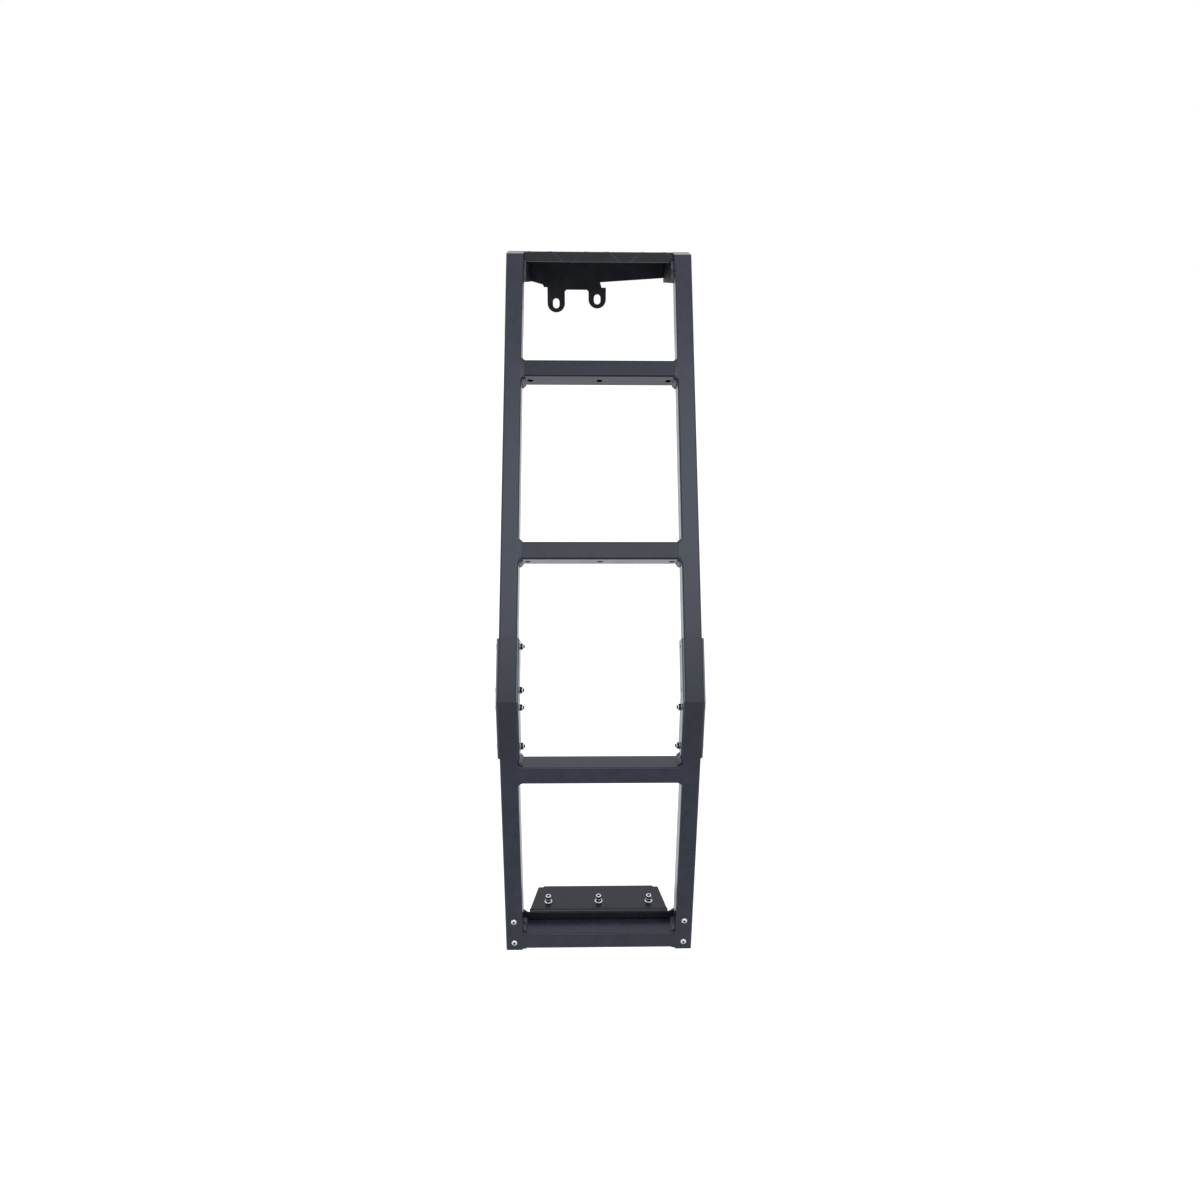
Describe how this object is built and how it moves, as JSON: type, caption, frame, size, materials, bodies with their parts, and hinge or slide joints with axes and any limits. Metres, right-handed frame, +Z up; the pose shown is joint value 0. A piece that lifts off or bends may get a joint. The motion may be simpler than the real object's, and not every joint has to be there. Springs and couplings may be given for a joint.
{
  "type": "tailgate ladder",
  "caption": "Rear-door ladder of welded rectangular tube in two sections, joined at a bend by bolted sleeves, with a slotted hook plate at the top and a clamping bracket at the bottom.",
  "frame": {"origin": "on the back face of the hook plate, in the middle of the ladder's width, level with the root of the middle tab", "axes": "+X to the right seen from behind the vehicle, +Y forwards towards the vehicle, +Z up; the lower rails stand upright"},
  "size_m": [0.3432, 0.5785, 1.1827],
  "materials": {
    "coat": "satin black powder coat with a fine grain",
    "coat_plate": "satin black powder coat on sheet steel",
    "fastener": "plain stainless steel"
  },
  "bodies": {
    "root": {"left_upper_rail": "coat", "right_upper_rail": "coat", "left_lower_rail": "coat", "right_lower_rail": "coat", "first_rung": "coat", "second_rung": "coat", "third_rung": "coat", "bottom_rung": "coat", "left_sleeve_upper": "coat", "left_sleeve_lower": "coat", "right_sleeve_upper": "coat", "right_sleeve_lower": "coat", "left_top_cap": "coat", "right_top_cap": "coat", "left_bottom_cap": "coat", "right_bottom_cap": "coat", "top_step": "coat_plate", "hook_plate": "coat_plate", "bottom_bracket": "coat_plate", "upper_welds": "coat", "lower_welds": "coat", "left_sleeve_bolt_1": "fastener", "left_sleeve_bolt_2": "fastener", "left_sleeve_bolt_3": "fastener", "left_sleeve_bolt_4": "fastener", "left_sleeve_nut_1": "fastener", "left_sleeve_nut_2": "fastener", "left_sleeve_nut_3": "fastener", "left_sleeve_nut_4": "fastener", "right_sleeve_bolt_3": "fastener", "right_sleeve_bolt_4": "fastener", "right_sleeve_nut_3": "fastener", "right_sleeve_nut_4": "fastener", "left_rail_bolt_1": "fastener", "left_rail_bolt_2": "fastener", "right_rail_bolt_1": "fastener", "right_rail_bolt_2": "fastener", "left_rail_nut_1": "fastener", "left_rail_nut_2": "fastener", "right_rail_nut_1": "fastener", "right_rail_nut_2": "fastener", "clamp_screws": "fastener", "clamp_nuts": "fastener"}
  },
  "joints": []
}
